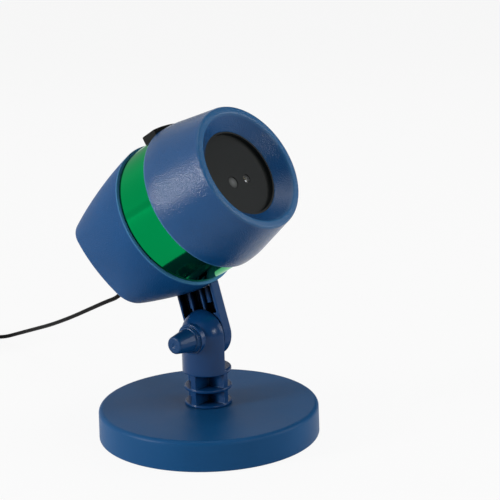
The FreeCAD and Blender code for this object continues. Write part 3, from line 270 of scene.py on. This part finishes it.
def turned_lines_group():
    """Fine lines of a turned, drawn or brushed metal along one direction, with slow stains."""
    tree, taken, given = group_tree("metal_lines", {"Fine": 900, "Stretch": 0.06, "Stain": 60}, ("Lines", "Stain"))
    place = add(tree, "ShaderNodeTexCoord").outputs["Object"]
    long = add(tree, "ShaderNodeCombineXYZ", X=1.0, Y=1.0, Z=taken.outputs["Stretch"])
    drawn = add(tree, "ShaderNodeVectorMath", operation="MULTIPLY")
    tree.links.new(place, drawn.inputs[0])
    tree.links.new(long.outputs[0], drawn.inputs[1])
    lines = add(tree, "ShaderNodeTexNoise", Vector=drawn.outputs[0], Scale=taken.outputs["Fine"], Detail=3.0)
    stain = add(tree, "ShaderNodeTexNoise", Vector=place, Scale=taken.outputs["Stain"], Detail=4.0)
    tree.links.new(lines.outputs["Fac"], given.inputs["Lines"])
    tree.links.new(stain.outputs["Fac"], given.inputs["Stain"])
    return tree


def painted_edge_light_group():
    """The small round on a moulding's edges as a normal, a mask where a painted highlight lightens the edge, and how
    open a place lies, a mask for painted shade in hollows.
    """
    sizes = {"Round": 0.0006, "Reach": 0.010, "Deep": 0.22, "Shallow": 0.5}
    tree, taken, given = group_tree("painted_edge_light", sizes, ("Normal", "Edge", "Open"))
    soft = add(tree, "ShaderNodeBevel", samples=6, Radius=taken.outputs["Round"])
    flat = add(tree, "ShaderNodeNewGeometry")
    turn = add(tree, "ShaderNodeVectorMath", operation="DOT_PRODUCT")
    tree.links.new(soft.outputs["Normal"], turn.inputs[0])
    tree.links.new(flat.outputs["Normal"], turn.inputs[1])
    near = add(tree, "ShaderNodeAmbientOcclusion", samples=8, Distance=taken.outputs["Reach"])
    tree.links.new(soft.outputs["Normal"], given.inputs["Normal"])
    # Edge: where the normal turns at a rounded edge; the painted highlight is laid there.
    tree.links.new(spread(tree, turn.outputs["Value"], *EDGE_TURN_SPAN, 0, 1), given.inputs["Edge"])
    # Open: ambient occlusion; where it is low the moulding gets painted shade.
    lit = add(tree, "ShaderNodeMapRange", From_Min=taken.outputs["Deep"], From_Max=taken.outputs["Shallow"])
    tree.links.new(near.outputs["AO"], lit.inputs["Value"])
    tree.links.new(lit.outputs["Result"], given.inputs["Open"])
    return tree


GRAIN = moulded_grain_group()
LINES = turned_lines_group()
EDGE_LIGHT_AND_SHADE = painted_edge_light_group()


def new_material(name):
    material = bpy.data.materials.new(name)
    material.use_nodes = True
    tree = material.node_tree
    return material, tree, tree.nodes["Principled BSDF"]


def use_group(tree, group, **values):
    node = tree.nodes.new("ShaderNodeGroup")
    node.node_tree = group
    for key, value in values.items():
        node.inputs[key].default_value = value
    return node


def bump(tree, shader, height, strength, distance, under=None):
    node = add(tree, "ShaderNodeBump", Height=height, Strength=strength, Distance=distance)
    if under is not None:
        tree.links.new(under, node.inputs["Normal"])
    tree.links.new(node.outputs["Normal"], shader.inputs["Normal"])


def along_barrel(tree):
    """How far forward of the head's centre, along the barrel, a point of the head lies."""
    place = add(tree, "ShaderNodeTexCoord").outputs["Object"]
    shift = add(tree, "ShaderNodeVectorMath", operation="SUBTRACT")
    tree.links.new(place, shift.inputs[0])
    shift.inputs[1].default_value = HEAD_CENTRE
    along = add(tree, "ShaderNodeVectorMath", operation="DOT_PRODUCT")
    tree.links.new(shift.outputs[0], along.inputs[0])
    along.inputs[1].default_value = BARREL_AXIS
    return along.outputs["Value"]


def moulding(name, dark, light, rough, grain=1500, depth=0.0001, specular=0.5, metallic=0.0, tint=(1, 1, 1),
             edge_highlight=None, edge_round=0.0006, recess=None, deep=0.22, shallow=0.5, highlight_lines=()):
    """A moulded plastic with its grain, and where given a painted highlight on its edges, painted shade in its hollows
    and painted highlight bands at its rims.
    """
    material, tree, shader = new_material(name)
    skin = use_group(tree, GRAIN, Grain=grain)
    colour = blend_colours(tree, skin.outputs["Tone"], dark, light)
    under = None
    if edge_highlight is not None:
        edges = use_group(tree, EDGE_LIGHT_AND_SHADE, Round=edge_round, Deep=deep, Shallow=shallow)
        under = edges.outputs["Normal"]
        # Painted highlight: the edges are lightened toward a paler blue.
        colour = blend_colours(tree, edges.outputs["Edge"], colour, edge_highlight)
        if recess is not None:
            # Painted shade: hollows and crevices turn near-black.
            colour = blend_colours(tree, edges.outputs["Open"], recess, colour)
    # Painted highlight: thin paler bands across the barrel at given stations along it.
    for start, end, share in highlight_lines:
        line = spread(tree, along_barrel(tree), start, end, 0, share)
        colour = blend_colours(tree, line, colour, edge_highlight)
    tree.links.new(colour, shader.inputs["Base Color"])
    tree.links.new(spread(tree, skin.outputs["Gloss"], *GLOSS_SPAN, *rough), shader.inputs["Roughness"])
    shader.inputs["Specular IOR Level"].default_value = specular
    shader.inputs["Metallic"].default_value = metallic
    shader.inputs["Specular Tint"].default_value = (*tint, 1)
    bump(tree, shader, skin.outputs["Height"], MOULDED_STRENGTH, depth, under)
    return material


def metal(name, dark, light, rough, fine=900, stretch=0.06):
    material, tree, shader = new_material(name)
    skin = use_group(tree, LINES, Fine=fine, Stretch=stretch)
    tree.links.new(blend_colours(tree, skin.outputs["Stain"], dark, light), shader.inputs["Base Color"])
    tree.links.new(spread(tree, skin.outputs["Lines"], *LINES_SPAN, *rough), shader.inputs["Roughness"])
    shader.inputs["Metallic"].default_value = 1.0
    bump(tree, shader, skin.outputs["Lines"], LINES_STRENGTH, LINES_DEPTH)
    return material


def window_glass(name, dark, light, rough, transmission, window, clear_share, edge_share):
    """A small window with painted light at its middle, darkening to painted shade at the edge of its mount."""
    material, tree, shader = new_material(name)
    skin = use_group(tree, GRAIN, Grain=WINDOW_GRAIN, Drift=WINDOW_DRIFT)
    low, high = (Vector(corner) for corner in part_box(window))
    middle = (low + high) / 2
    radius = (high.x - low.x) / 2
    away = add(tree, "ShaderNodeVectorMath", operation="DISTANCE")
    tree.links.new(add(tree, "ShaderNodeTexCoord").outputs["Object"], away.inputs[0])
    away.inputs[1].default_value = middle
    # Painted light in the window's middle, fading to painted shade at its edge.
    pale = spread(tree, away.outputs["Value"], clear_share * radius, edge_share * radius, 1, 0)
    colour = blend_colours(tree, skin.outputs["Tone"], dark, light)
    tree.links.new(blend_colours(tree, pale, WINDOW_EDGE_SHADE, colour), shader.inputs["Base Color"])
    tree.links.new(spread(tree, skin.outputs["Gloss"], *GLOSS_SPAN, *rough), shader.inputs["Roughness"])
    shader.inputs["Transmission Weight"].default_value = transmission
    shader.inputs["Specular IOR Level"].default_value = WINDOW_SPECULAR
    bump(tree, shader, skin.outputs["Height"], WINDOW_STRENGTH, WINDOW_DEPTH)
    return material


# Near-black painted as shade in hollows; paler blues painted as highlight along edges.
BLUE_RECESS_SHADE = (0.0006, 0.0025, 0.007)
BLUE_EDGE_HIGHLIGHT = (0.050, 0.200, 0.400)
POST_EDGE_HIGHLIGHT = (0.012, 0.085, 0.240)
# Near-black painted as shade where a window meets its mount.
WINDOW_EDGE_SHADE = (0.012, 0.014, 0.0138)
BLUE_FRONT = moulding("blue_front_moulding", (0.004, 0.062, 0.196), (0.006, 0.074, 0.225), (0.14, 0.21), grain=1150,
                      depth=0.0006, specular=0.33, edge_highlight=BLUE_EDGE_HIGHLIGHT, edge_round=0.0009,
                      highlight_lines=((0.0018, 0.0002, 1), (0.0430, 0.0446, 0.35)))
BLUE_REAR = moulding("blue_rear_moulding", (0.004, 0.061, 0.192), (0.006, 0.072, 0.220), (0.36, 0.46), grain=1100,
                     depth=0.0005, specular=0.14, edge_highlight=BLUE_EDGE_HIGHLIGHT, edge_round=0.0009, highlight_lines=((-0.0300, -0.0286, 1),))
BLUE_FOOT = moulding("blue_foot_moulding", (0.006, 0.072, 0.205), (0.008, 0.084, 0.232), (0.38, 0.48),
                     grain=1900, specular=0.14)
# The post, arm and knob take darker copies of the blue: painted shade under the head.
BLUE_POST = moulding("blue_post_moulding", (0.002, 0.039, 0.138), (0.004, 0.048, 0.160), (0.20, 0.27), grain=2200,
                     depth=0.00005, specular=0.27, edge_highlight=POST_EDGE_HIGHLIGHT, recess=BLUE_RECESS_SHADE)
BLUE_ARM = moulding("blue_arm_moulding", (0.003, 0.042, 0.146), (0.005, 0.051, 0.168), (0.34, 0.44), grain=2200,
                    depth=0.00005, specular=0.14, edge_highlight=POST_EDGE_HIGHLIGHT, recess=BLUE_RECESS_SHADE, deep=0.42, shallow=0.78)
BLUE_KNOB = moulding("blue_knob_moulding", (0.002, 0.038, 0.128), (0.004, 0.047, 0.150), (0.26, 0.36), grain=2200,
                     depth=0.00005, specular=0.22, edge_highlight=POST_EDGE_HIGHLIGHT, recess=BLUE_RECESS_SHADE)
GREEN_BAND = moulding("green_polished_band", (0.0, 0.27, 0.072), (0.0, 0.29, 0.079), (0.07, 0.11),
                      grain=900, depth=0.000008, metallic=1.0, tint=(0.6, 1.0, 0.75))
BLACK_DISH = moulding("black_dish_plastic", (0.006, 0.008, 0.0078), (0.009, 0.011, 0.0108), (0.46, 0.56),
                      grain=2400, depth=0.00005, specular=0.22)
BLACK_SWITCH = moulding("black_switch_plastic", (0.003, 0.0035, 0.0037), (0.005, 0.0055, 0.0057), (0.34, 0.46),
                        grain=2400, depth=0.00006, specular=0.1)
BUTTON_GREY = moulding("button_cap_plastic", (0.012, 0.012, 0.013), (0.018, 0.018, 0.019), (0.40, 0.52),
                       grain=2400, specular=0.2)
PLATE_BLACK = moulding("base_plate_plastic", (0.012, 0.012, 0.013), (0.018, 0.018, 0.019), (0.46, 0.58),
                       grain=1300, specular=0.25)
ADAPTER_BLACK = moulding("adapter_plastic", (0.009, 0.009, 0.0095), (0.014, 0.014, 0.0145), (0.40, 0.52),
                         grain=1700, specular=0.25)
SOFT_BLACK = moulding("soft_black_rubber", (0.006, 0.006, 0.0065), (0.010, 0.010, 0.0105), (0.62, 0.76),
                      grain=3000, specular=0.15)
CORD_JACKET = moulding("cord_jacket_vinyl", (0.003, 0.003, 0.0032), (0.005, 0.005, 0.0052), (0.42, 0.54),
                       grain=1600, depth=0.00003, specular=0.05)
FIBRE = moulding("pressed_fibre", (0.20, 0.19, 0.17), (0.28, 0.265, 0.24), (0.70, 0.85), grain=1200)
BOARD_GREEN = moulding("board_lacquer", (0.012, 0.090, 0.035), (0.018, 0.120, 0.045), (0.24, 0.36), grain=1800)
BOARD_BLACK = moulding("board_part_plastic", (0.010, 0.010, 0.011), (0.020, 0.020, 0.021), (0.34, 0.5), grain=2600)
LEAD_RED = moulding("lead_jacket_red", (0.28, 0.018, 0.014), (0.36, 0.026, 0.02), (0.36, 0.5), grain=2600)
STEEL = metal("zinc_plated_steel", (0.50, 0.50, 0.51), (0.66, 0.66, 0.665), (0.24, 0.38))
BRASS = metal("turned_brass", (0.60, 0.42, 0.17), (0.74, 0.55, 0.26), (0.2, 0.34))
ALUMINIUM = metal("machined_aluminium", (0.68, 0.69, 0.70), (0.80, 0.805, 0.81), (0.26, 0.4), fine=1400, stretch=0.03)
IRON = metal("rough_cast_iron", (0.09, 0.09, 0.092), (0.16, 0.158, 0.155), (0.55, 0.75), fine=500, stretch=1.0)
FROSTED = window_glass("frosted_window", (0.15, 0.16, 0.158), (0.20, 0.21, 0.208), (0.5, 0.65), 0.3,
                       "left_grating", 0.2, 1.15)
CLEAR = window_glass("ruled_window", (0.30, 0.32, 0.32), (0.40, 0.42, 0.42), (0.08, 0.16), 0.85,
                     "right_grating", 0.5, 1.3)
# Near-white colour painted as the glint on the window's lens.
LENS = moulding("painted_glint_lens", (0.72, 0.74, 0.75), (0.80, 0.82, 0.83), (0.10, 0.16), grain=2600, depth=0.00001)

FINISHES = {
    BLUE_FRONT: ("front_shell",),
    BLUE_REAR: ("rear_shell",),
    BLUE_FOOT: ("base_shell",),
    BLUE_POST: ("post",),
    BLUE_ARM: ("arm",),
    BLUE_KNOB: ("clamp_knob",),
    GREEN_BAND: ("band",),
    BLACK_DISH: ("front_plate",),
    BLACK_SWITCH: ("button_housing",),
    BUTTON_GREY: ("button_cap",),
    PLATE_BLACK: ("base_plate",),
    ADAPTER_BLACK: ("adapter_body",),
    SOFT_BLACK: ("rubber_feet", "front_seal", "rear_seal", "cable_gland", "adapter_relief", "coil_tie"),
    CORD_JACKET: ("cord_tail", "power_cord", "cord_coil"),
    FIBRE: ("friction_washer",),
    BOARD_GREEN: ("main_board",),
    BOARD_BLACK: ("board_parts", "button_switch"),
    LEAD_RED: ("laser_leads",),
    STEEL: ("base_screws", "post_screw", "clamp_stud", "clamp_nut", "arm_screws", "shell_screws", "plate_screws",
            "holder_screws", "board_screws", "button_spring"),
    BRASS: ("left_laser_module", "right_laser_module", "adapter_pins"),
    ALUMINIUM: ("module_holder",),
    IRON: ("base_weight",),
    FROSTED: ("left_grating",),
    CLEAR: ("right_grating",),
}


def finish_piece(piece, material):
    piece.data.materials.clear()
    piece.data.materials.append(material)


for material, names in FINISHES.items():
    for name in names:
        finish_piece(nodes[name], material)
finish_piece(cord, CORD_JACKET)


def barrel_place(station, height):
    """A point of the head from its barrel's own measures."""
    return HEAD_CENTRE + BARREL_AXIS * station + BARREL_UP * height


def new_piece(name, shape, material):
    """A closed piece of the head from its shape, with its finish."""
    bmesh.ops.recalc_face_normals(shape, faces=shape.faces)
    mesh = bpy.data.meshes.new(name)
    shape.to_mesh(mesh)
    shape.free()
    mesh.shade_smooth()
    piece = bpy.data.objects.new(name, mesh)
    scene.collection.objects.link(piece)
    finish_piece(piece, material)
    return piece


def glint_lens_bead():
    """A small bead at the lower edge of the ruled window, its near-white colour a painted glint."""
    shape = bmesh.new()
    bmesh.ops.create_uvsphere(shape, u_segments=LENS_SIDES, v_segments=LENS_RINGS, radius=LENS_RADIUS)
    bmesh.ops.scale(shape, vec=(1, 1, LENS_FLAT_SHARE), verts=shape.verts)
    lay = Matrix((Vector((1, 0, 0)), BARREL_UP, BARREL_AXIS)).transposed().to_4x4()
    bmesh.ops.transform(shape, matrix=Matrix.Translation(LENS_PLACE) @ lay, verts=shape.verts)
    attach(new_piece("glint_lens_bead", shape, LENS), "head")


def press_spring():
    """The button's spring: its foot stands on the switch and its top reaches up to the button."""
    shape = bmesh.new()
    wire = Matrix.Translation((SPRING_RADIUS, 0, 0)) @ Matrix.Rotation(math.pi / 2, 4, "X")
    bmesh.ops.create_circle(shape, segments=SPRING_WIRE_SIDES, radius=SPRING_WIRE_RADIUS, matrix=wire)
    steps = SPRING_TURNS * SPRING_STEPS
    rise = Vector((0, 0, (SPRING_HIGH - SPRING_LOW) / steps))
    bmesh.ops.spin(shape, geom=shape.verts[:] + shape.edges[:], cent=(0, 0, 0), axis=(0, 0, 1), dvec=rise,
                   angle=2 * math.pi * SPRING_TURNS, steps=steps)
    bmesh.ops.holes_fill(shape, edges=[e for e in shape.edges if e.is_boundary])
    foot = barrel_place(SPRING_STATION, SPRING_LOW)
    stand = Matrix((Vector((1, 0, 0)), -BARREL_AXIS, BARREL_UP)).transposed().to_4x4()
    bmesh.ops.transform(shape, matrix=Matrix.Translation(foot) @ stand, verts=shape.verts)
    spring = new_piece("press_spring", shape, STEEL)
    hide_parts("button_spring")
    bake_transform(spring)


glint_lens_bead()
press_spring()


# Floor, light and background
LIGHT_AIM = Vector((0, 0, 0.15))
BRIGHT_SIDE = (-0.60, 0.80, 0.05)
DIM_ROOM, BRIGHT_ROOM = 0.03, 0.10
DIM_WALLS, BRIGHT_WALLS = 0.12, 0.88
FLOOR_GLOW = 0.92
FLOOR_SHINE = 0.75
WALLS_BRIGHT_FROM = 0.8
FLOOR_GREY = (0.7, 0.7, 0.7, 1)
FLOOR_ROUGHNESS = 0.9
FLOOR_HALF_WIDTH = 12
WHITE = (1, 1, 1, 1)

# Lights: place in metres, width in metres and power in watts
LIGHTS = {
    "left_light": ((-1.39, 0.72, 0.36), 0.36, 15),
    "high_left_light": ((-1.22, 0.90, 0.90), 0.9, 3),
    "front_light": ((-0.30, -1.47, 0.62), 0.35, 5),
    "top_light": ((0, 0, 1.7), 1.0, 7.5),
    "right_light": ((0.9, -1.2, 0.6), 0.8, 9),
    "back_light": ((1.0, 0.9, 1.0), 0.8, 2.5),
}


def looks_at_it(tree, path):
    """One where the camera looks at the background, straight or through glass."""
    seen = add(tree, "ShaderNodeMath", operation="MAXIMUM")
    tree.links.new(path.outputs["Is Camera Ray"], seen.inputs[0])
    tree.links.new(path.outputs["Is Transmission Ray"], seen.inputs[1])
    return seen.outputs[0]


def mix_shaders(tree, factor, first, second):
    mix = tree.nodes.new("ShaderNodeMixShader")
    tree.links.new(factor, mix.inputs[0])
    tree.links.new(first.outputs[0], mix.inputs[1])
    tree.links.new(second.outputs[0], mix.inputs[2])
    return mix


def white_floor():
    material, tree, shader = new_material("white_floor")
    shader.inputs["Base Color"].default_value = FLOOR_GREY
    shader.inputs["Roughness"].default_value = FLOOR_ROUGHNESS
    shader.inputs["Specular IOR Level"].default_value = 0.0
    white = add(tree, "ShaderNodeEmission", Color=WHITE, Strength=1.0)
    path = tree.nodes.new("ShaderNodeLightPath")
    shine = spread(tree, path.outputs["Is Glossy Ray"], 0, 1, 0, FLOOR_SHINE)
    glow = spread(tree, looks_at_it(tree, path), 0, 1, 0, FLOOR_GLOW)
    reflected = mix_shaders(tree, shine, shader, white)
    floor_look = mix_shaders(tree, glow, reflected, white)
    tree.links.new(floor_look.outputs[0], tree.nodes["Material Output"].inputs["Surface"])
    shape = bmesh.new()
    bmesh.ops.create_grid(shape, x_segments=1, y_segments=1, size=FLOOR_HALF_WIDTH)
    mesh = bpy.data.meshes.new("floor")
    shape.to_mesh(mesh)
    shape.free()
    mesh.materials.append(material)
    floor = bpy.data.objects.new("floor", mesh)
    scene.collection.objects.link(floor)


def studio_room():
    """A white room whose light and reflections are brighter on the left and behind."""
    world = bpy.data.worlds.new("studio_room")
    scene.world = world
    world.use_nodes = True
    tree = world.node_tree
    side = add(tree, "ShaderNodeVectorMath", operation="DOT_PRODUCT")
    tree.links.new(add(tree, "ShaderNodeTexCoord").outputs["Generated"], side.inputs[0])
    side.inputs[1].default_value = BRIGHT_SIDE
    light = tree.nodes["Background"]
    light.inputs["Color"].default_value = WHITE
    tree.links.new(spread(tree, side.outputs["Value"], 0, 1, DIM_ROOM, BRIGHT_ROOM), light.inputs["Strength"])
    walls = add(tree, "ShaderNodeBackground", Color=WHITE)
    tree.links.new(spread(tree, side.outputs["Value"], 0, WALLS_BRIGHT_FROM, DIM_WALLS, BRIGHT_WALLS),
                   walls.inputs["Strength"])
    white = add(tree, "ShaderNodeBackground", Color=WHITE, Strength=1.0)
    path = tree.nodes.new("ShaderNodeLightPath")
    reflected = mix_shaders(tree, path.outputs["Is Glossy Ray"], light, walls)
    room = mix_shaders(tree, looks_at_it(tree, path), reflected, white)
    tree.links.new(room.outputs[0], tree.nodes["World Output"].inputs["Surface"])


def softbox(name, place, width, watts):
    data = bpy.data.lights.new(name, "AREA")
    data.size = width
    data.energy = watts
    lamp = bpy.data.objects.new(name, data)
    toward = LIGHT_AIM - Vector(place)
    lamp.matrix_world = Matrix.Translation(place) @ toward.to_track_quat("-Z", "Y").to_matrix().to_4x4()
    scene.collection.objects.link(lamp)


white_floor()
studio_room()
for name, (place, width, watts) in LIGHTS.items():
    softbox(name, place, width, watts)
